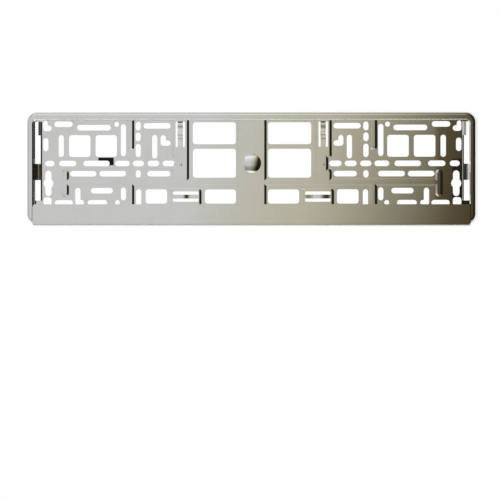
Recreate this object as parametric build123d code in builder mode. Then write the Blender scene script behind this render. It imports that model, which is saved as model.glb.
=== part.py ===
"""Number plate holder for a 520 x 112 mm car plate: a moulded frame and a clip-on lower strip.

Millimetres. X runs along the plate, +Z is up, and the back plane that lies on the car is Y = 0.
Depths are measured forwards from that plane, so a depth d lies at Y = -d.
"""
import os
from math import atan2, cos, degrees, pi, sin

from build123d import *

os.makedirs("parts", exist_ok=True)

# The plate and the tray that takes it
PLATE_W = 520.0
PLATE_H = 112.0
PLATE_LIFT = 6.8
PLATE_PLAY_X = 4.0
PLATE_PLAY_Z = 1.7
WALL = 2.0
DEPTH = 13.0

# Rim: its lips cover the top and the two ends of the plate
LIP_T = 2.0
TOP_LIP_COVER = 5.7
SIDE_LIP_COVER = 1.7
RIM_CORNER_R = 12.0
RIM_EDGE_R = 3.6
LIP_CORNER_R = 4.0
LIP_BEVEL = 1.4
BEVEL_TAPER = 45.0
RIM_FOOT = 13.2

# Panel: a thin plate with fields pressed forwards, so that its wall stays even
PANEL_BACK = 4.0
PANEL_T = 2.0
RAISE = 1.6
RAMP = 2.5
FIELD_R = 2.0
FIELD_MARGIN = 4.8

# Plate length that the panel's pattern is laid out for; it spreads or closes up with the plate
PATTERN_PLATE_W = 520.0

# Lower strip
STRIP_H = 25.5
STRIP_T = 2.0
STRIP_GAP = 0.3
STRIP_END_GAP = 0.6
BAY_STEP = 1.6
STRIP_CORNER_R = 3.8
STRIP_TOP_R = 0.8
STRIP_FOOT_R = 2.6
FLANGE_BACK = 1.0

# Snap tongues of the strip, their slots in the panel, and the webs beside them
TONGUE_X = [40.0, 120.0, 200.0]
TONGUE_W = 12.0
TONGUE_T = 1.8
TONGUE_TIP = 2.6
TONGUE_RISE = 9.0
TONGUE_PLAY = 0.4
BARB = 0.6
BARB_LENGTH = 1.2
WEB_T = 1.6
WEB_RISE = 11.0
WEB_OFFSET = 9.0
END_WEB_INSET = 7.0

# Worked out from the values above
SPREAD = PLATE_W / PATTERN_PLATE_W
WIDTH = PLATE_W + 2 * (PLATE_PLAY_X + WALL)
PLATE_TOP = PLATE_LIFT + PLATE_H / 2
PLATE_FOOT = PLATE_TOP - PLATE_H
TOP = PLATE_TOP + PLATE_PLAY_Z + WALL
LIP_BACK = DEPTH - LIP_T
LIP_LOW = PLATE_TOP - TOP_LIP_COVER
LIP_SIDE = PLATE_W / 2 - SIDE_LIP_COVER
PANEL_FRONT = PANEL_BACK + PANEL_T
FIELD_BACK = PANEL_BACK + RAISE
FIELD_FRONT = PANEL_FRONT + RAISE
FIELD_TAPER = degrees(atan2(RAMP, RAISE))
FIELD_END = TOP - WALL - FIELD_MARGIN
FIELD_FOOT = PLATE_FOOT - FIELD_MARGIN / 2
RIM_BOTTOM = PLATE_FOOT - RIM_FOOT - WALL
STRIP_BOTTOM = RIM_BOTTOM - STRIP_GAP - STRIP_T
STRIP_TOP = STRIP_BOTTOM + STRIP_H
BAY_SIDE = LIP_SIDE + BAY_STEP
STRIP_SIDE = BAY_SIDE - STRIP_END_GAP
STRIP_FRONT = LIP_BACK + STRIP_T
TONGUE_Z = STRIP_BOTTOM + STRIP_T + TONGUE_RISE

# Small rounds, of which there are many, are drawn with few sides: to a quarter turn, to a quarter
# turn of a field's corner, and to the half turn at a slot's end
QUARTER_SIDES = 3
FIELD_SIDES = 2
END_SIDES = 5

# Holes, given for the right half as seen from the front
SLOT_W = 6.5
CENTRE_ROW_Z = 6.6
LOWER_ROW_Z = -5.4
# Main screw slots, with true round ends: inner end, outer end, height
SCREW_SLOTS = [(168.7, 200.0, CENTRE_ROW_Z), (167.3, 207.4, 48.5)]
# Other level slots: inner end, outer end, height
LEVEL_SLOTS = [
    (91.2, 106.1, CENTRE_ROW_Z), (109.7, 123.9, CENTRE_ROW_Z), (127.9, 141.4, CENTRE_ROW_Z),
    (144.8, 162.5, CENTRE_ROW_Z), (208.2, 228.8, CENTRE_ROW_Z), (234.0, 245.6, CENTRE_ROW_Z),
    (96.5, 124.2, LOWER_ROW_Z), (149.1, 181.1, LOWER_ROW_Z), (184.3, 215.9, LOWER_ROW_Z),
    (96.2, 128.8, 50.6), (212.6, 234.6, 52.6),
    (164.8, 191.3, -25.3), (171.5, 195.1, -39.4), (212.2, 233.9, -39.4),
]
# Upright slots: place along X, lower end, upper end
UPRIGHT_W = 6.3
UPRIGHT_SLOTS = [
    (115.3, 12.2, 40.1), (134.85, 45.2, 55.5), (134.85, 32.5, 42.8), (134.85, 13.9, 29.7),
    (134.85, -10.1, -1.2), (134.3, -46.0, -23.5), (152.4, 15.0, 52.7), (152.4, -36.6, -21.4),
    (226.2, 14.1, 40.0), (244.5, 20.9, 36.6),
]
# Windows: inner edge, outer edge, lower edge, upper edge
WINDOW_R = 3.0
WINDOWS = [
    (19.0, 70.2, 29.1, 54.7), (19.0, 70.1, -10.1, 23.7), (18.9, 55.9, -40.4, -23.9),
    (100.5, 126.2, -40.4, -23.7), (160.0, 185.5, 14.3, 39.8), (191.5, 217.0, 14.3, 39.8),
    (237.6, 247.5, -43.0, -33.0),
]
# Boot-shaped holes, each two slots: toe, inner and outer edge of the leg, sole, toe top, leg top
BOOTS = [
    (96.3, 102.1, 108.3, 27.2, 33.5, 39.8), (237.4, 242.2, 247.8, 44.5, 51.1, 56.6),
    (199.0, 203.3, 209.6, -42.4, -36.1, -21.8),
]
ROUND_R = 3.0
ROUND_HOLES = [(160.4, 52.4), (159.5, -39.2)]
KEYHOLE_X = 241.5 * SPREAD
KEYHOLE_LOW = -31.7
KEYHOLE_HIGH = -1.65
KEYHOLE_W = 7.5
KEYHOLE_R = 6.0

# Raised fields, to the middle of their sloping walls: inner edge, outer edge, lower edge, upper edge
CENTRE_FIELD = 16.2 * SPREAD
FIELDS = [
    (75.6, 93.3, 14.2, FIELD_END), (75.6, 89.2, -14.0, 18.0), (75.6, 93.3, -15.0, -0.9),
    (60.9, 95.9, FIELD_FOOT, -24.0),
]
BEAD_W = 6.4
BEAD_X = 143.8 * SPREAD
BEAD_FOOT = 26.1
LONG_BEAD_Z = -15.5
END_BEAD_X = 221.3 * SPREAD
END_BEAD_LOW = -28.1
END_BEAD_HIGH = -4.6

# Ends of the panel: a pad that leans back to a core slot beside the lip, which a folded bridge crosses
PAD_INNER = 236.6 * SPREAD
PAD_TOP = 12.3
PAD_FOOT = -46.0
PAD_DROP = 1.2
CORE_W = 6.6
CORE_PLAY = 6.8
CORE_LOW = -36.8
CORE_HIGH = 55.6
FOLD_LOW = -12.9
FOLD_HIGH = 6.2
FOLD_FRONT = 3.6
FOLD_LAP = 0.6
CORE_EDGE = WIDTH / 2 - WALL - CORE_PLAY
PANEL_END = CORE_EDGE - CORE_W
# Ridge along the end of the panel, and the higher stop at its top, which reaches over the core slot
RIDGE_W = 1.8
RIDGE_RISE = 0.6
STOP_LOW = 39.5
STOP_W = 4.6
STOP_REACH = 2.8
STOP_RISE = 1.5

# Core slots behind the top lip: inner end, outer end
TOP_CORE_W = 4.4
TOP_CORE_GAP = 1.2
TOP_CORES = [(23.0, 70.0), (99.0, 136.0), (152.0, 246.0)]

# Waved leaf springs that press the plate forwards, each across a window of its own
LEAF_T = 1.6
LEAF_LAP = 0.8
LEAF_WINDOW_R = 1.5
UPRIGHT_LEAF = (79.0 * SPREAD, 90.2 * SPREAD, 25.7, 55.7)
UPRIGHT_LEAF_W = 6.2
LEVEL_LEAF = (63.0 * SPREAD, 93.4 * SPREAD, -38.2, -26.2)
LEVEL_LEAF_W = 4.6
# Bends of the leaves: distance from the upper or the outer end, and rise above the field
UPRIGHT_BENDS = [(3.0, 1.0), (9.0, -0.2), (14.5, 1.8), (21.0, -0.7)]
LEVEL_BENDS = [(11.0, 1.8), (21.5, -0.8)]

# Dome, pips, plate shelves, ribs and the angle-shaped patch
DOME_Z = 6.9
DOME_R = 11.2
DOME_H = 3.0
PIP_X = 84.4 * SPREAD
PIP_Z = 4.8
PIP_R = 1.8
PIP_H = 0.8
PIP_TAPER = 45.0
SHELF_X = [108.0, 178.0, 228.0]
SHELF_W = 10.0
SHELF_T = 1.6
SHELF_GAP = 0.4
RIB_T = 1.6
RIB_INNER = 97.0 * SPREAD
RIB_OUTER = 233.0 * SPREAD
CENTRE_RIB = 15.0 * SPREAD
PATCH_DEPTH = 0.4
PATCH_INNER = 163.8 * SPREAD
PATCH_OUTER = 182.1 * SPREAD
PATCH_TOP = 13.4
PATCH_LOW = 4.5
PATCH_LEG = 6.0

# Front view, seen from the plate's side
FRONT = Plane.XZ


def span(inner, outer, low, high):
    """Rectangle between two edges along X and two along Z."""
    with Locations(((inner + outer) / 2, (low + high) / 2)):
        Rectangle(outer - inner, high - low)


def soft_span(inner, outer, low, high, corner_r, sides=QUARTER_SIDES):
    """The same with its corners rounded off in short sides."""
    corners = [
        (outer - corner_r, high - corner_r), (inner + corner_r, high - corner_r),
        (inner + corner_r, low + corner_r), (outer - corner_r, low + corner_r),
    ]
    points = []
    for quarter, (x, z) in enumerate(corners):
        for step in range(sides + 1):
            turn = (quarter + step / sides) * pi / 2
            points.append((x + corner_r * cos(turn), z + corner_r * sin(turn)))
    with BuildLine() as outline:
        Polyline(*points, close=True)
    make_face(outline.edges())


def slot(start, end, width):
    """Slot with round ends about two points."""
    heading = atan2(end[1] - start[1], end[0] - start[0])
    points = []
    for (x, z), first in ((end, heading - pi / 2), (start, heading + pi / 2)):
        for step in range(END_SIDES + 1):
            turn = first + step / END_SIDES * pi
            points.append((x + width / 2 * cos(turn), z + width / 2 * sin(turn)))
    with BuildLine() as outline:
        Polyline(*points, close=True)
    make_face(outline.edges())


def level_slot(inner, outer, z, width):
    """Slot along X, given by its two ends."""
    slot((inner + width / 2, z), (outer - width / 2, z), width)


def upright_slot(x, low, high, width):
    """Slot along Z, given by its two ends."""
    slot((x, low + width / 2), (x, high - width / 2), width)


def disc(x, z, radius):
    """Small round hole."""
    with Locations((x, z)):
        RegularPolygon(radius, 4 * QUARTER_SIDES)


def rim_outline(inset):
    """Outline of the rim, drawn inside it by the inset."""
    with Locations((0, (TOP + RIM_BOTTOM) / 2)):
        RectangleRounded(WIDTH - 2 * inset, TOP - RIM_BOTTOM - 2 * inset, RIM_CORNER_R - inset)


def press(inner, outer, low, high):
    """Raised field whose edges lie at the middle of its sloping walls."""
    grow = RAMP / 2
    with BuildSketch(FRONT.offset(PANEL_FRONT)) as base:
        soft_span(inner - grow, outer + grow, low - grow, high + grow, FIELD_R + grow, FIELD_SIDES)
    extrude(base.sketch, amount=RAISE, taper=FIELD_TAPER)


def press_bead(start, end):
    """Raised bead with round ends, between the ends of its middle line."""
    with BuildSketch(FRONT.offset(PANEL_FRONT)) as base:
        slot(start, end, BEAD_W + RAMP)
    extrude(base.sketch, amount=RAISE, taper=FIELD_TAPER)


def leaf(plane, low, high, bends, width):
    """Waved leaf spring, drawn on a plane as along and depth."""
    course = [(high - along, FIELD_FRONT + rise) for along, rise in bends]
    course = [(high + LEAF_LAP, FIELD_FRONT), *course, (low - LEAF_LAP, FIELD_FRONT)]
    with BuildSketch(plane) as profile:
        with BuildLine():
            for drop in (0, LEAF_T):
                for start, end in zip(course, course[1:]):
                    start, end = Vector(*start) - Vector(0, drop), Vector(*end) - Vector(0, drop)
                    first = TangentArc(start, (start + end) / 2, tangent=(-1, 0))
                    TangentArc(first @ 1, end, tangent=first % 1)
            for along, depth in (course[0], course[-1]):
                Line((along, depth), (along, depth - LEAF_T))
        make_face()
    extrude(profile.sketch, amount=width)


def bar(points, low, high):
    """Upright bar between two heights, from its section as X and depth."""
    with BuildSketch(Plane.XY.offset(low)) as section:
        with BuildLine():
            Polyline(*[(x, -depth) for x, depth in points], close=True)
        make_face()
    extrude(section.sketch, amount=high - low)


def ridge(edge, width, rise, low, high):
    """Bar on the panel with two equal slopes, up to its outer edge."""
    foot = edge - width
    bar([(foot, PANEL_BACK), (foot, PANEL_FRONT), ((foot + edge) / 2, PANEL_FRONT + rise),
         (edge, PANEL_FRONT), (edge, PANEL_BACK)], low, high)


# Fields pressed forwards out of the panel
with BuildPart() as fields:
    for inner, outer, low, high in FIELDS:
        press(inner * SPREAD, outer * SPREAD, low, high)
    press_bead((BEAD_X, BEAD_FOOT), (BEAD_X, FIELD_END))
    press_bead((BEAD_X, FIELD_FOOT), (BEAD_X, LONG_BEAD_Z))
    press_bead((END_BEAD_X, END_BEAD_LOW), (END_BEAD_X, END_BEAD_HIGH))
    mirror(about=Plane.YZ)
    press(-CENTRE_FIELD, CENTRE_FIELD, FIELD_FOOT, FIELD_END)
    press_bead((-END_BEAD_X, LONG_BEAD_Z), (END_BEAD_X, LONG_BEAD_Z))

# Dome on the middle field
with BuildPart() as dome:
    dome_axis = Axis((0, 0, DOME_Z), (0, 1, 0))
    ball_r = (DOME_R**2 + DOME_H**2) / (2 * DOME_H)
    with BuildSketch(Plane(origin=dome_axis.position, x_dir=(1, 0, 0), z_dir=(0, 0, 1))):
        with BuildLine():
            root = Line((0, -PANEL_FRONT), (DOME_R, -PANEL_FRONT))
            wall = Line(root @ 1, (DOME_R, -FIELD_FRONT))
            cap = RadiusArc(wall @ 1, (0, -FIELD_FRONT - DOME_H), ball_r)
            Line(cap @ 1, root @ 0)
        make_face()
    revolve(axis=dome_axis)

# Every hole through the panel
with BuildPart() as holes:
    with BuildSketch(FRONT):
        for inner, outer, z in SCREW_SLOTS:
            with Locations(((inner + outer) / 2 * SPREAD, z)):
                SlotOverall((outer - inner) * SPREAD, SLOT_W)
        for inner, outer, z in LEVEL_SLOTS:
            level_slot(inner * SPREAD, outer * SPREAD, z, SLOT_W)
        for x, low, high in UPRIGHT_SLOTS:
            upright_slot(x * SPREAD, low, high, UPRIGHT_W)
        for inner, outer, low, high in WINDOWS:
            soft_span(inner * SPREAD, outer * SPREAD, low, high, WINDOW_R)
        for *edges, sole, toe_top, leg_top in BOOTS:
            toe, inner, outer = [edge * SPREAD for edge in edges]
            level_slot(toe, outer, (sole + toe_top) / 2, toe_top - sole)
            upright_slot((inner + outer) / 2, sole, leg_top, outer - inner)
        for x, z in ROUND_HOLES:
            disc(x * SPREAD, z, ROUND_R)
        upright_slot(KEYHOLE_X, KEYHOLE_LOW, KEYHOLE_HIGH, KEYHOLE_W)
        disc(KEYHOLE_X, (KEYHOLE_LOW + KEYHOLE_HIGH) / 2, KEYHOLE_R)
        soft_span(*UPRIGHT_LEAF, LEAF_WINDOW_R, FIELD_SIDES)
        soft_span(*LEVEL_LEAF, LEAF_WINDOW_R, FIELD_SIDES)
        span(PANEL_END, CORE_EDGE, CORE_LOW, CORE_HIGH)
        for inner, outer in TOP_CORES:
            core_top = TOP - WALL - TOP_CORE_GAP
            span(inner * SPREAD, outer * SPREAD, core_top - TOP_CORE_W, core_top)
        for x in TONGUE_X:
            side = TONGUE_W / 2 + TONGUE_PLAY
            reach = TONGUE_T / 2 + TONGUE_PLAY
            span(x - side, x + side, TONGUE_Z - reach - BARB, TONGUE_Z + reach)
        mirror(about=Plane.YZ)
    extrude(amount=LIP_BACK)

# What leans back from the panel's front at the pads
with BuildPart() as pads:
    pad_edge = CORE_EDGE + FOLD_LAP
    bar([(PAD_INNER, PANEL_FRONT), (pad_edge, PANEL_FRONT), (pad_edge, PANEL_FRONT - PAD_DROP)],
        PAD_FOOT, PAD_TOP)
    mirror(about=Plane.YZ)

# Leaf springs, ridges, stops and folded bridges
with BuildPart() as fittings:
    inner, outer, low, high = UPRIGHT_LEAF
    leaf_side = (inner + outer - UPRIGHT_LEAF_W) / 2
    upright_plane = Plane((leaf_side, 0, 0), x_dir=(0, 0, 1), z_dir=(1, 0, 0))
    leaf(upright_plane, low, high, UPRIGHT_BENDS, UPRIGHT_LEAF_W)
    inner, outer, low, high = LEVEL_LEAF
    leaf_side = (low + high + LEVEL_LEAF_W) / 2
    level_plane = Plane((0, 0, leaf_side), x_dir=(1, 0, 0), z_dir=(0, 0, -1))
    leaf(level_plane, inner, outer, LEVEL_BENDS, LEVEL_LEAF_W)
    ridge(PANEL_END, RIDGE_W, RIDGE_RISE, CORE_LOW, STOP_LOW)
    ridge(PANEL_END + STOP_REACH, STOP_W, STOP_RISE, STOP_LOW, CORE_HIGH)
    inner, outer = PANEL_END - FOLD_LAP, CORE_EDGE + FOLD_LAP
    valley, pad_front = (inner + outer) / 2, PANEL_FRONT - PAD_DROP
    bar([(inner, pad_front), (valley, FOLD_FRONT), (outer, PANEL_FRONT), (outer, PANEL_BACK),
         (valley, FOLD_FRONT - PANEL_T), (inner, pad_front - PANEL_T)], FOLD_LOW, FOLD_HIGH)
    mirror(about=Plane.YZ)

# Moulded frame
with BuildPart() as frame:
    # Rim: a shallow tray, open behind, with its front cut away inside the lips
    with BuildSketch(FRONT):
        rim_outline(0)
    extrude(amount=DEPTH)
    fillet(frame.faces().sort_by(Axis.Y)[0].edges(), RIM_EDGE_R)
    with BuildSketch(FRONT):
        rim_outline(WALL)
    extrude(amount=LIP_BACK, mode=Mode.SUBTRACT)
    with BuildSketch(FRONT.offset(LIP_BACK)) as opening:
        span(-LIP_SIDE, LIP_SIDE, RIM_BOTTOM - RIM_CORNER_R, LIP_LOW)
        fillet(opening.vertices().group_by(Axis.Z)[-1], LIP_CORNER_R)
    extrude(amount=LIP_T, mode=Mode.SUBTRACT)
    # Light-catching bevel round the opening
    with BuildSketch(FRONT.offset(DEPTH)) as bevel:
        span(-LIP_SIDE - LIP_BEVEL, LIP_SIDE + LIP_BEVEL, RIM_BOTTOM - RIM_CORNER_R, LIP_LOW + LIP_BEVEL)
        fillet(bevel.vertices().group_by(Axis.Z)[-1], LIP_CORNER_R + LIP_BEVEL)
    extrude(amount=-LIP_BEVEL, taper=BEVEL_TAPER, mode=Mode.SUBTRACT)
    # Bay of the strip: the lower wall stops at the panel, and the lips step aside
    with BuildSketch(FRONT.offset(PANEL_FRONT)):
        span(-BAY_SIDE, BAY_SIDE, RIM_BOTTOM - WALL, RIM_BOTTOM + WALL)
    extrude(amount=DEPTH, mode=Mode.SUBTRACT)
    with BuildSketch(FRONT.offset(LIP_BACK)):
        span(-BAY_SIDE, BAY_SIDE, RIM_BOTTOM, STRIP_TOP + STRIP_GAP)
    extrude(amount=LIP_T, mode=Mode.SUBTRACT)
    # Panel with its pads, and with its fields, which are hollow behind
    with BuildSketch(FRONT.offset(PANEL_BACK)):
        rim_outline(WALL / 2)
    extrude(amount=PANEL_T)
    behind = Location((0, PANEL_T, 0))
    add([fields.part, dome.part, pads.part.moved(behind)])
    add([fields.part.moved(behind), dome.part.moved(behind), pads.part], mode=Mode.SUBTRACT)
    # Ribs that carry the panel on the back plane
    with BuildSketch(FRONT):
        span(-CENTRE_RIB, CENTRE_RIB, -RIB_T / 2, RIB_T / 2)
        span(RIB_INNER, RIB_OUTER, -RIB_T / 2, RIB_T / 2)
        span(-RIB_OUTER, -RIB_INNER, -RIB_T / 2, RIB_T / 2)
    extrude(amount=FIELD_BACK + PANEL_T / 2)
    add(holes.part, mode=Mode.SUBTRACT)
    add(fittings.part)
    # Shelves that the foot of the plate stands on
    with BuildSketch(FRONT.offset(PANEL_FRONT)):
        for x in SHELF_X:
            span(x - SHELF_W / 2, x + SHELF_W / 2, PLATE_FOOT - SHELF_T, PLATE_FOOT)
        mirror(about=Plane.YZ)
    extrude(amount=LIP_BACK - SHELF_GAP - PANEL_FRONT)
    # Small pips beside the springs
    with BuildSketch(FRONT.offset(FIELD_FRONT)):
        disc(-PIP_X, PIP_Z, PIP_R)
        disc(PIP_X, PIP_Z, PIP_R)
    extrude(amount=PIP_H, taper=PIP_TAPER)
    # Shallow angle-shaped patch round the inner end of one screw slot
    with BuildSketch(FRONT.offset(PANEL_FRONT)):
        span(-PATCH_OUTER, -PATCH_INNER, CENTRE_ROW_Z, PATCH_TOP)
        span(-PATCH_INNER - PATCH_LEG, -PATCH_INNER, PATCH_LOW, PATCH_TOP)
    extrude(amount=-PATCH_DEPTH, mode=Mode.SUBTRACT)
frame.part.label = "frame"
export_step(frame.part, "parts/frame.step")

# Clip-on lower strip: an angle section with a round foot, trimmed to round corners
with BuildPart() as strip:
    with BuildSketch(Plane.YZ) as section:
        inside = STRIP_BOTTOM + STRIP_T
        with BuildLine():
            Polyline(
                (-STRIP_FRONT, STRIP_TOP), (-LIP_BACK, STRIP_TOP), (-LIP_BACK, inside),
                (-FLANGE_BACK, inside), (-FLANGE_BACK, STRIP_BOTTOM), (-STRIP_FRONT, STRIP_BOTTOM),
                close=True,
            )
        make_face()
        front_corners = section.vertices().group_by(Axis.X)[0].sort_by(Axis.Y)
        fillet(front_corners[0], STRIP_FOOT_R)
        fillet(front_corners[-1], STRIP_TOP_R)
    extrude(amount=STRIP_SIDE, both=True)
    with BuildSketch(FRONT) as face:
        span(-STRIP_SIDE, STRIP_SIDE, STRIP_BOTTOM, STRIP_TOP)
        fillet(face.vertices().group_by(Axis.Z)[0], STRIP_CORNER_R)
    extrude(amount=STRIP_FRONT, mode=Mode.INTERSECT)
    # Webs that stand on the panel
    with BuildSketch(FRONT.offset(PANEL_FRONT + STRIP_GAP)):
        webs = [STRIP_SIDE - END_WEB_INSET]
        for x in TONGUE_X:
            webs += [x - WEB_OFFSET, x + WEB_OFFSET]
        web_foot, web_top = STRIP_BOTTOM + STRIP_T / 2, STRIP_BOTTOM + STRIP_T + WEB_RISE
        for x in webs:
            span(x - WEB_T / 2, x + WEB_T / 2, web_foot, web_top)
        mirror(about=Plane.YZ)
    extrude(amount=LIP_BACK + STRIP_T / 2 - PANEL_FRONT - STRIP_GAP)
    # Snap tongues with a low barb near the tip
    with BuildSketch(FRONT.offset(TONGUE_TIP)):
        for x in TONGUE_X:
            span(x - TONGUE_W / 2, x + TONGUE_W / 2, TONGUE_Z - TONGUE_T / 2, TONGUE_Z + TONGUE_T / 2)
        mirror(about=Plane.YZ)
    extrude(amount=LIP_BACK + STRIP_T / 2 - TONGUE_TIP)
    with BuildSketch(FRONT.offset(TONGUE_TIP)):
        for x in TONGUE_X:
            span(x - TONGUE_W / 2, x + TONGUE_W / 2, TONGUE_Z - TONGUE_T / 2 - BARB, TONGUE_Z)
        mirror(about=Plane.YZ)
    extrude(amount=BARB_LENGTH)
strip.part.label = "strip"
export_step(strip.part, "parts/strip.step")
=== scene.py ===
"""Looks of the chrome-plated number plate holder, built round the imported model.

Metres, +Z up, front towards -Y.
"""
from math import cos, radians, sin

import bmesh
import bpy
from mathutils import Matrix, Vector


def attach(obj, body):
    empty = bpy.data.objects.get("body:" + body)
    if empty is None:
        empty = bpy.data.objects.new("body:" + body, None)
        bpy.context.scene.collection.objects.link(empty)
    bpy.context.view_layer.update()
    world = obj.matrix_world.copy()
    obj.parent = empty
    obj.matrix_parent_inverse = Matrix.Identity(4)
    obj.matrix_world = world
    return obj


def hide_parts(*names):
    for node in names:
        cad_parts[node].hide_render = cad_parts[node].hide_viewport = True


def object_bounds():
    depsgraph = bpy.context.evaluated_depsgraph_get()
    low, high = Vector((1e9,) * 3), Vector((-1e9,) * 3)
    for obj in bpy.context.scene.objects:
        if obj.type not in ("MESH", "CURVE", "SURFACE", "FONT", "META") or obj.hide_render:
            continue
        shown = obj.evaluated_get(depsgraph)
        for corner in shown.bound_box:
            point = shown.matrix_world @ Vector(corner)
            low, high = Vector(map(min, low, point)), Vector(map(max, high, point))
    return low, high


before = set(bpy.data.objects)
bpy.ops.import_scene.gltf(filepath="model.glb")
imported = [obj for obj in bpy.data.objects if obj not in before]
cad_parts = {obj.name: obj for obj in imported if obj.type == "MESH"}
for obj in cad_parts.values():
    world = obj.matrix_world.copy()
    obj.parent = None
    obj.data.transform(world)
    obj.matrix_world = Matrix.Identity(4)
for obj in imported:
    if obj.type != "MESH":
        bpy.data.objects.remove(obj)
cad_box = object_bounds()

MM = 0.001

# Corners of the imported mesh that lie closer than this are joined
WELD = 0.001 * MM

# Turns between faces: flat ones are merged, gentle ones shade as one curve, sharper ones are rounded
FLAT_TURN = radians(0.6)
SLOPE_TURN = radians(29.0)

# A flat front face shades into its neighbour over a smaller turn, so that the foot of the dome stays crisp
FOOT_TURN = radians(16.0)
FACING_FRONT = cos(radians(2.0))

# Rounding of the edges, and the least room that it needs at an edge
EDGE_ROUND = 0.2 * MM
EDGE_STEPS = 2
LEAST_EDGE = 3 * EDGE_ROUND
LEAST_WIDTH = 2.8 * EDGE_ROUND
LEAST_CORNER = radians(20.0)

# Moulding under the plating: waves and peel a metre, share of the peel, and where the film of handling shows
WAVES = 22.0
STRIP_WAVES = 9.0
WAVE_DETAIL = 1.0
PEEL = 420.0
PEEL_DETAIL = 2.0
PEEL_SHARE = 0.03
FILM_PATCHES = 60.0
FILM_DETAIL = 5.0
FILM_GRAIN = 0.62
FILM_FROM = 0.42
FILM_TO = 0.72
FILM = 0.5
STRIP_FILM = 0.4

# Chrome plating: tint and roughness where it is clean, under the film and on the back, and its waviness
CLEAN_TINT = (0.92, 0.915, 0.9, 1)
FILM_TINT = (0.84, 0.835, 0.815, 1)
BACK_TINT = (0.74, 0.735, 0.715, 1)
CLEAN_ROUGHNESS = 0.055
FILM_ROUGHNESS = 0.17
BACK_ROUGHNESS = 0.24
BACK_FROM = 0.2
BACK_TO = 0.9
WAVE_STRENGTH = 0.05
WAVE_HEIGHT = 0.4 * MM

# Black paint for a patch of painted dark reflection: darkest and palest tint, roughness, fine grain and shine
PAINTED_DARK_TINT = (0.003, 0.003, 0.003, 1)
PAINTED_DARK_PALE_TINT = (0.008, 0.008, 0.008, 1)
PAINTED_DARK_ROUGHNESS = 0.5
PAINTED_DARK_DULL_ROUGHNESS = 0.75
PAINTED_DARK_GRAIN = 900.0
PAINTED_DARK_GRAIN_STRENGTH = 0.2
PAINTED_DARK_GRAIN_HEIGHT = 0.05 * MM
PAINTED_DARK_SHINE = 0.15

# Patch of painted dark reflection round the inner end of one screw slot: lowest and highest corner of the
# shallow recess
PAINTED_DARK_LOW = Vector((-182.4, -6.05, 4.2)) * MM
PAINTED_DARK_HIGH = Vector((-163.5, -5.5, 14.3)) * MM

# Ends of the slotted panel, which lean outwards a little: where the lean sets in along the holder, the depths
# that part the lips from the panel, and the sideways share of the normal
LEAN_FROM = 214.0 * MM
LEAN_TO = 222.0 * MM
LIPS_DEPTH = -9.5 * MM
PANEL_DEPTH = -8.5 * MM
END_LEAN = 0.043

# Camera, by the photograph's frame: far off, level, and turned a little to the holder's right
IMAGE_SIZE = 500
PIXEL = 1.1695 * MM
HOLDER_MIDDLE_PX = (250.95, 169.1)
CAMERA_TURN = radians(9.0)
CAMERA_DISTANCE = 24.0
SENSOR = 36.0


def new_nodes(tree):
    """A function that adds a node of a kind to the tree and sets its properties and inputs."""
    def add(kind, inputs=None, **properties):
        node = tree.nodes.new(kind)
        for name, value in properties.items():
            setattr(node, name, value)
        for key, value in (inputs or {}).items():
            if isinstance(value, bpy.types.NodeSocket):
                tree.links.new(value, node.inputs[key])
            else:
                node.inputs[key].default_value = value
        return node
    return add


def ramp(node, stops):
    """Sets the stops of a colour ramp: place and grey or colour."""
    elements = node.color_ramp.elements
    while len(elements) < len(stops):
        elements.new(1.0)
    for element, (place, colour) in zip(elements, stops):
        element.position = place
        element.color = (*colour, 1.0) if isinstance(colour, tuple) else (colour, colour, colour, 1.0)
    return node


def soft_moulding():
    """Group: slow waves of the moulding under the plating, fine peel, and a thin uneven film of handling."""
    tree = bpy.data.node_groups.new("soft_moulding", "ShaderNodeTree")
    face = tree.interface
    settings = {"Wave Size": WAVES, "Peel Size": PEEL, "Film Size": FILM_PATCHES, "Film": FILM}
    for name, value in settings.items():
        socket = face.new_socket(name, in_out="INPUT", socket_type="NodeSocketFloat")
        socket.default_value = value
    face.new_socket("Height", in_out="OUTPUT", socket_type="NodeSocketFloat")
    face.new_socket("Film", in_out="OUTPUT", socket_type="NodeSocketFloat")
    add = new_nodes(tree)
    given = add("NodeGroupInput").outputs
    place = add("ShaderNodeTexCoord").outputs["Object"]
    wave = add("ShaderNodeTexNoise", {"Vector": place, "Scale": given["Wave Size"], "Detail": WAVE_DETAIL})
    peel = add("ShaderNodeTexNoise", {"Vector": place, "Scale": given["Peel Size"], "Detail": PEEL_DETAIL})
    film = add("ShaderNodeTexNoise", {"Vector": place, "Scale": given["Film Size"], "Detail": FILM_DETAIL,
                                      "Roughness": FILM_GRAIN})
    fine_peel = add("ShaderNodeMath", {0: peel.outputs["Fac"], 1: PEEL_SHARE}, operation="MULTIPLY")
    height = add("ShaderNodeMath", {0: wave.outputs["Fac"], 1: fine_peel.outputs[0]}, operation="ADD")
    patches = add("ShaderNodeMapRange", {"Value": film.outputs["Fac"], "From Min": FILM_FROM,
                                         "From Max": FILM_TO})
    haze = add("ShaderNodeMath", {0: patches.outputs[0], 1: given["Film"]}, operation="MULTIPLY")
    out = add("NodeGroupOutput")
    tree.links.new(height.outputs[0], out.inputs["Height"])
    tree.links.new(haze.outputs[0], out.inputs["Film"])
    return tree


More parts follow.
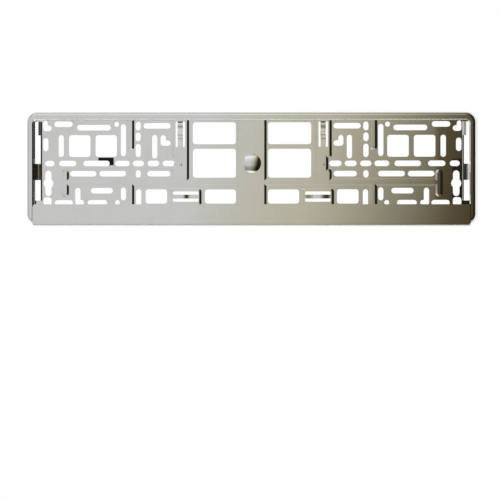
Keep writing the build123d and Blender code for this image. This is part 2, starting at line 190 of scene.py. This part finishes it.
def leaning_ends(add, normal):
    """The normal, turned a little outwards at both ends of the slotted panel."""
    place = add("ShaderNodeSeparateXYZ", {0: add("ShaderNodeTexCoord").outputs["Object"]})
    out = add("ShaderNodeMath", {0: place.outputs["X"]}, operation="ABSOLUTE")
    side = add("ShaderNodeMath", {0: place.outputs["X"]}, operation="SIGN")
    lean = add("ShaderNodeMapRange", {"Value": out.outputs[0], "From Min": LEAN_FROM, "From Max": LEAN_TO,
                                      "To Max": END_LEAN})
    deep = add("ShaderNodeMapRange", {"Value": place.outputs["Y"], "From Min": LIPS_DEPTH,
                                      "From Max": PANEL_DEPTH})
    sided = add("ShaderNodeMath", {0: lean.outputs[0], 1: side.outputs[0]}, operation="MULTIPLY")
    panel_only = add("ShaderNodeMath", {0: sided.outputs[0], 1: deep.outputs[0]}, operation="MULTIPLY")
    outwards = add("ShaderNodeCombineXYZ", {"X": panel_only.outputs[0]})
    turned = add("ShaderNodeVectorMath", {0: normal, 1: outwards.outputs[0]}, operation="ADD")
    return add("ShaderNodeVectorMath", {0: turned.outputs[0]}, operation="NORMALIZE").outputs[0]


def plating(name, moulding, wave_size, film, has_panel):
    """Bright chrome plating over moulded plastic, duller on the faces turned to the back."""
    material = bpy.data.materials.new(name)
    material.use_nodes = True
    tree = material.node_tree
    add = new_nodes(tree)
    shader = tree.nodes["Principled BSDF"]
    shader.inputs["Metallic"].default_value = 1.0
    marks = add("ShaderNodeGroup", node_tree=moulding)
    marks.inputs["Wave Size"].default_value = wave_size
    marks.inputs["Film"].default_value = film
    facing = add("ShaderNodeSeparateXYZ", {0: add("ShaderNodeTexCoord").outputs["Normal"]})
    back = add("ShaderNodeMapRange", {"Value": facing.outputs["Y"], "From Min": BACK_FROM,
                                      "From Max": BACK_TO})
    sheen = add("ShaderNodeMapRange", {"Value": marks.outputs["Film"], "To Min": CLEAN_ROUGHNESS,
                                       "To Max": FILM_ROUGHNESS})
    dull = add("ShaderNodeMix", {"Factor": back.outputs[0], "A": sheen.outputs[0], "B": BACK_ROUGHNESS},
               data_type="FLOAT")
    tint = add("ShaderNodeMix", {"Factor": marks.outputs["Film"], "A": CLEAN_TINT, "B": FILM_TINT},
               data_type="RGBA")
    behind = add("ShaderNodeMix", {"Factor": back.outputs[0], "A": tint.outputs["Result"], "B": BACK_TINT},
                 data_type="RGBA")
    bump = add("ShaderNodeBump", {"Height": marks.outputs["Height"], "Strength": WAVE_STRENGTH,
                                  "Distance": WAVE_HEIGHT})
    normal = leaning_ends(add, bump.outputs["Normal"]) if has_panel else bump.outputs["Normal"]
    tree.links.new(behind.outputs["Result"], shader.inputs["Base Color"])
    tree.links.new(dull.outputs["Result"], shader.inputs["Roughness"])
    tree.links.new(normal, shader.inputs["Normal"])
    return material


def painted_dark_patch(moulding):
    """Black patch that paints a dark reflection, with a fine grain and a little shine."""
    material = bpy.data.materials.new("painted_dark_patch")
    material.use_nodes = True
    tree = material.node_tree
    add = new_nodes(tree)
    shader = tree.nodes["Principled BSDF"]
    shader.inputs["Specular IOR Level"].default_value = PAINTED_DARK_SHINE
    marks = add("ShaderNodeGroup", node_tree=moulding)
    marks.inputs["Film Size"].default_value = PAINTED_DARK_GRAIN
    colour = add("ShaderNodeMix", {"Factor": marks.outputs["Film"], "A": PAINTED_DARK_TINT, "B": PAINTED_DARK_PALE_TINT},
                 data_type="RGBA")
    gloss = add("ShaderNodeMapRange", {"Value": marks.outputs["Film"], "To Min": PAINTED_DARK_ROUGHNESS,
                                       "To Max": PAINTED_DARK_DULL_ROUGHNESS})
    bump = add("ShaderNodeBump", {"Height": marks.outputs["Film"], "Strength": PAINTED_DARK_GRAIN_STRENGTH,
                                  "Distance": PAINTED_DARK_GRAIN_HEIGHT})
    tree.links.new(colour.outputs["Result"], shader.inputs["Base Color"])
    tree.links.new(gloss.outputs[0], shader.inputs["Roughness"])
    tree.links.new(bump.outputs["Normal"], shader.inputs["Normal"])
    return material


def roomy(edge):
    """Whether a rounding fits: the faces at the edge's ends have no short edge, sharp point or thin shape."""
    near = [loop for vertex in edge.verts for loop in vertex.link_loops]
    return edge.calc_length() > LEAST_EDGE and all(
        loop.calc_angle() > LEAST_CORNER
        and min(loop.edge.calc_length(), loop.link_loop_prev.edge.calc_length()) > LEAST_EDGE
        and loop.face.calc_area() > LEAST_WIDTH / 2 * loop.face.calc_perimeter() for loop in near)


def corner_normals(shape, rounds):
    """Normals for shading: flat faces stay flat, gentle turns run on, a rounding leads from face to face."""
    area = {face: face.calc_area() for face in shape.faces}
    normals = {}
    for vertex in shape.verts:
        fans = {face: [face] for face in vertex.link_faces if face not in rounds}
        for edge in vertex.link_edges:
            sides = [face for face in edge.link_faces if face in fans]
            if len(sides) < 2 or fans[sides[0]] is fans[sides[1]]:
                continue
            at_foot = any(abs(face.normal.y) > FACING_FRONT for face in sides)
            if edge.calc_face_angle() < (FOOT_TURN if at_foot else SLOPE_TURN):
                joined = fans[sides[0]] + fans[sides[1]]
                fans.update((face, joined) for face in joined)
        for face, fan in fans.items():
            normals[face, vertex] = sum((near.normal * area[near] for near in fan), Vector()).normalized()
    for face in rounds:
        for vertex in face.verts:
            beside = [normals[near, vertex] for near in vertex.link_faces if near not in rounds]
            between = sum((near.normal * area[near] for near in vertex.link_faces), Vector()).normalized()
            normals[face, vertex] = max(beside, key=face.normal.dot) if beside else between
    return [normals[face, vertex] for face in shape.faces for vertex in face.verts]


def softened(node, name, body, materials):
    """The node's own shape with its corners rounded as the mould and the plating leave them."""
    shape = bmesh.new()
    shape.from_mesh(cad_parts[node].data)
    bmesh.ops.remove_doubles(shape, verts=shape.verts, dist=WELD)
    bmesh.ops.dissolve_limit(shape, angle_limit=FLAT_TURN, use_dissolve_boundaries=False,
                             verts=shape.verts, edges=shape.edges)
    for face in shape.faces:
        face.material_index = 0
    corners = [edge for edge in shape.edges
               if edge.is_manifold and edge.calc_face_angle() > SLOPE_TURN and roomy(edge)]
    rounded = bmesh.ops.bevel(shape, geom=corners, offset=EDGE_ROUND, offset_type="OFFSET", affect="EDGES",
                              segments=EDGE_STEPS, profile=0.5, material=-1, clamp_overlap=False)
    shape.normal_update()
    for face in shape.faces:
        face.smooth = True
        middle = face.calc_center_median()
        # Faces in the shallow recess at one screw slot get the black patch of painted dark reflection
        in_painted_dark = all(low <= at <= high for low, at, high in zip(PAINTED_DARK_LOW, middle, PAINTED_DARK_HIGH))
        if in_painted_dark and len(materials) > 1:
            face.material_index = 1
    normals = corner_normals(shape, set(rounded["faces"]))
    mesh = bpy.data.meshes.new(name)
    shape.to_mesh(mesh)
    shape.free()
    mesh.normals_split_custom_set(normals)
    piece = bpy.data.objects.new(name, mesh)
    bpy.context.scene.collection.objects.link(piece)
    for material in materials:
        mesh.materials.append(material)
    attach(piece, body)
    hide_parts(node)


moulding = soft_moulding()
frame_plating = plating("frame_plating", moulding, WAVES, FILM, True)
strip_plating = plating("strip_plating", moulding, STRIP_WAVES, STRIP_FILM, False)
# The frame's second material paints a dark reflection on the recess at one screw slot
painted_dark = painted_dark_patch(moulding)
softened("frame", "plated_tray", "holder", [frame_plating, painted_dark])
softened("strip", "plated_strip", "strip", [strip_plating])

# A card's reach to either side of its middle, where its tones are half way, and a strength that stays even
HALF = 0.5
EVEN_GAINS = [(0.0, 1.0), (1.0, 1.0)]


def glow(name, middle, run, stops, gains):
    """Material that only shines. Its tone changes along one way, and its strength with height."""
    material = bpy.data.materials.new(name)
    material.use_nodes = True
    tree = material.node_tree
    tree.nodes.clear()
    add = new_nodes(tree)
    spot = add("ShaderNodeTexCoord").outputs["Object"]
    place = add("ShaderNodeVectorMath", {0: spot, 1: middle}, operation="SUBTRACT")
    run_along = add("ShaderNodeVectorMath", {0: place.outputs[0], 1: run}, operation="DOT_PRODUCT")
    along = add("ShaderNodeMath", {0: run_along.outputs["Value"], 1: HALF}, operation="ADD")
    tone = ramp(add("ShaderNodeValToRGB", {"Fac": along.outputs[0]}), stops)
    height = add("ShaderNodeSeparateXYZ", {0: place.outputs[0]})
    level = add("ShaderNodeMath", {0: height.outputs["Z"], 1: HALF}, operation="ADD")
    gain = ramp(add("ShaderNodeValToRGB", {"Fac": level.outputs[0]}), gains)
    light = add("ShaderNodeEmission", {"Color": tone.outputs["Color"], "Strength": gain.outputs["Color"]})
    add("ShaderNodeOutputMaterial", {"Surface": light.outputs[0]})
    return material


def graded_card(name, middle, wide, high, run, stops, gains):
    """Shining sheet that the plating mirrors and the camera looks through."""
    shape = bmesh.new()
    bmesh.ops.create_grid(shape, x_segments=1, y_segments=1, size=HALF)
    for vertex in shape.verts:
        vertex.co = middle + wide * vertex.co.x + high * vertex.co.y
    mesh = bpy.data.meshes.new(name)
    shape.to_mesh(mesh)
    shape.free()
    mesh.materials.append(glow(name, middle, run, stops, gains))
    card = bpy.data.objects.new(name, mesh)
    card.visible_camera = False
    card.visible_diffuse = False
    card.visible_shadow = False
    bpy.context.scene.collection.objects.link(card)


# Tones along a card, a metre from end to end: pale grey on the left, falling to a dim warm tone on the right
TONES = [
    (0.0, 0.6), (0.43, 0.6), (0.51, (0.53, 0.525, 0.44)), (0.58, (0.49, 0.47, 0.37)),
    (0.66, (0.31, 0.295, 0.215)), (0.755, (0.10, 0.078, 0.04)), (0.78, (0.07, 0.055, 0.028)),
    (0.805, (0.02, 0.015, 0.008)),
]
LEFT_TONES = TONES[:5] + [(0.73, (0.15, 0.13, 0.08)), (0.82, (0.35, 0.34, 0.3)), (0.9, 0.5)]
LOWER_TONES = [
    (0.0, 0.6), (0.45, 0.6), (0.58, (0.5, 0.49, 0.44)), (0.7, (0.27, 0.26, 0.21)), (0.8, (0.14, 0.13, 0.09)),
]

# The front card's tones lean with height and its strength grows upwards; the left card's tones run faster
TONE_LEAN = 0.25
FRONT_GAINS = [(0.05, 0.4), (0.3, 0.6), (0.4, 1.0), (0.58, 1.0), (0.85, 1.45)]
LEFT_RUN = 2.74

# Slopes of the raised fields, and the cards that the flat faces and the slopes mirror: how far off, and sizes
SLOPE = radians(32.6)
CARD_FRONT = 0.42
CARD_ABOVE = 0.5
CARD_BELOW = 0.4
CARD_LEFT = 0.6
CARD_LENGTH = 1.0
FRONT_CARD_HEIGHT = 0.9
UPPER_CARD_DEPTH = 0.44
LOWER_CARD_DEPTH = 0.2
LEFT_CARD_DEPTH = 0.27
LEFT_CARD_HEIGHT = 0.3

# Ways along the holder, into the car and up
ACROSS = Vector((1, 0, 0))
BACKWARDS = Vector((0, 1, 0))
UPRIGHT = Vector((0, 0, 1))

glance = Vector((-sin(CAMERA_TURN), cos(CAMERA_TURN), 0))
ahead = glance.reflect(-BACKWARDS)
upwards = glance.reflect(Vector((0, -cos(SLOPE), sin(SLOPE))))
downwards = glance.reflect(Vector((0, -cos(SLOPE), -sin(SLOPE))))
leftwards = glance.reflect(Vector((-sin(SLOPE), -cos(SLOPE), 0)))
front_spot = ahead * (CARD_FRONT / -ahead.y)
upper_spot = upwards * (CARD_ABOVE / upwards.z)
lower_spot = downwards * (CARD_BELOW / -downwards.z)
left_spot = leftwards * (CARD_LEFT / -leftwards.x)
graded_card("front_card", front_spot, ACROSS * CARD_LENGTH, UPRIGHT * FRONT_CARD_HEIGHT,
            ACROSS - UPRIGHT * TONE_LEAN, TONES, FRONT_GAINS)
graded_card("upper_card", upper_spot, ACROSS * CARD_LENGTH, BACKWARDS * UPPER_CARD_DEPTH,
            ACROSS, TONES, EVEN_GAINS)
graded_card("lower_card", lower_spot, ACROSS * CARD_LENGTH, BACKWARDS * LOWER_CARD_DEPTH,
            ACROSS, LOWER_TONES, EVEN_GAINS)
graded_card("left_card", left_spot, BACKWARDS * LEFT_CARD_DEPTH, UPRIGHT * LEFT_CARD_HEIGHT,
            BACKWARDS * -LEFT_RUN, LEFT_TONES, EVEN_GAINS)

# Pale floor under the holder, fading out towards its edge
FLOOR_Z = -0.44
FLOOR_R = 0.7
FLOOR_FADE = 0.4
FLOOR_SIDES = 96
FLOOR_TINT = (0.86, 0.86, 0.86, 1)
FLOOR_ROUGHNESS = 0.7
LEVEL_ONLY = (1, 1, 0)


def floor_material():
    """Plain pale paint that thins out towards the edge of the floor."""
    material = bpy.data.materials.new("pale_floor")
    material.use_nodes = True
    tree = material.node_tree
    add = new_nodes(tree)
    shader = tree.nodes["Principled BSDF"]
    shader.inputs["Base Color"].default_value = FLOOR_TINT
    shader.inputs["Roughness"].default_value = FLOOR_ROUGHNESS
    spot = add("ShaderNodeTexCoord").outputs["Object"]
    place = add("ShaderNodeVectorMath", {0: spot, 1: LEVEL_ONLY}, operation="MULTIPLY")
    away = add("ShaderNodeVectorMath", {0: place.outputs[0]}, operation="LENGTH")
    solid = add("ShaderNodeMapRange", {"Value": away.outputs["Value"], "From Min": FLOOR_R,
                                       "From Max": FLOOR_FADE}, interpolation_type="SMOOTHSTEP")
    tree.links.new(solid.outputs[0], shader.inputs["Alpha"])
    return material


disc = bmesh.new()
bmesh.ops.create_circle(disc, cap_ends=True, segments=FLOOR_SIDES, radius=FLOOR_R)
for vertex in disc.verts:
    vertex.co.z = FLOOR_Z
floor_mesh = bpy.data.meshes.new("floor")
disc.to_mesh(floor_mesh)
disc.free()
floor_mesh.materials.append(floor_material())
floor = bpy.data.objects.new("floor", floor_mesh)
bpy.context.scene.collection.objects.link(floor)

# Room: white to the eye; in what the plating mirrors it is pale on the left and behind, and dim on the right
WHITE = (1, 1, 1, 1)
SIDEWAYS_TONES = [(0.0, 0.6), (0.45, 0.55), (0.58, 0.42), (0.70, 0.03), (1.0, 0.01)]
UPWARD_TONES = [(0.0, 1.15), (0.15, 1.0), (0.35, 0.85), (0.5, 1.0), (0.8, 0.75), (1.0, 0.6)]
REAR_TONES = [(0.0, 0.62), (0.45, 0.7), (0.75, 1.0)]
REAR_BLEND = 0.12

world = bpy.data.worlds.new("studio")
bpy.context.scene.world = world
world.use_nodes = True
world_tree = world.node_tree
world_tree.nodes.clear()
add = new_nodes(world_tree)
heading = add("ShaderNodeSeparateXYZ", {0: add("ShaderNodeTexCoord").outputs["Generated"]})
turned = add("ShaderNodeMapRange", {"Value": heading.outputs["X"], "From Min": -1.0})
sideways = ramp(add("ShaderNodeValToRGB", {"Fac": turned.outputs[0]}), SIDEWAYS_TONES)
raised = add("ShaderNodeMapRange", {"Value": heading.outputs["Z"], "From Min": -1.0})
upward = ramp(add("ShaderNodeValToRGB", {"Fac": raised.outputs[0]}), UPWARD_TONES)
front = add("ShaderNodeMix", {"Factor": 1.0, "A": sideways.outputs["Color"], "B": upward.outputs["Color"]},
            data_type="RGBA", blend_type="MULTIPLY")
rear = ramp(add("ShaderNodeValToRGB", {"Fac": turned.outputs[0]}), REAR_TONES)
rearward = add("ShaderNodeMapRange", {"Value": heading.outputs["Y"], "From Min": 0.0, "From Max": REAR_BLEND})
room = add("ShaderNodeMix", {"Factor": rearward.outputs[0], "A": front.outputs["Result"],
                             "B": rear.outputs["Color"]}, data_type="RGBA")
seen = add("ShaderNodeBackground", {"Color": WHITE, "Strength": 1.0})
mirrored = add("ShaderNodeBackground", {"Color": room.outputs["Result"], "Strength": 1.0})
by_eye = add("ShaderNodeLightPath").outputs["Is Camera Ray"]
pick = add("ShaderNodeMixShader", {0: by_eye, 1: mirrored.outputs[0], 2: seen.outputs[0]})
add("ShaderNodeOutputWorld", {"Surface": pick.outputs[0]})

# Soft lamp above the holder's left, aimed at its middle
LAMP_SIZE = 0.9
LAMP_POWER = 30.0
LAMP_PLACE = Vector((-0.7, -0.9, 1.3))

lamp_data = bpy.data.lights.new("soft_lamp", "AREA")
lamp_data.shape = "DISK"
lamp_data.size = LAMP_SIZE
lamp_data.energy = LAMP_POWER
lamp = bpy.data.objects.new("soft_lamp", lamp_data)
lamp.visible_glossy = False
lamp.location = LAMP_PLACE
lamp.rotation_euler = (-LAMP_PLACE).to_track_quat("-Z", "Y").to_euler()
bpy.context.scene.collection.objects.link(lamp)

# Camera, aimed along its turn and set off so that the holder lies where the photograph has it
camera_data = bpy.data.cameras.new("camera")
camera_data.sensor_width = SENSOR
camera_data.lens = SENSOR * CAMERA_DISTANCE / (IMAGE_SIZE * PIXEL)
camera = bpy.data.objects.new("camera", camera_data)
middle = (cad_box[0] + cad_box[1]) / 2
middle.y = cad_box[0].y
towards = Vector((sin(CAMERA_TURN), -cos(CAMERA_TURN), 0))
rightwards = Vector((cos(CAMERA_TURN), sin(CAMERA_TURN), 0))
right_px, down_px = [IMAGE_SIZE / 2 - place for place in HOLDER_MIDDLE_PX]
camera.location = middle + towards * CAMERA_DISTANCE + (rightwards * right_px - UPRIGHT * down_px) * PIXEL
camera.rotation_euler = (radians(90), 0, CAMERA_TURN)
bpy.context.scene.collection.objects.link(camera)
bpy.context.scene.camera = camera
bpy.context.scene.view_settings.view_transform = "Standard"
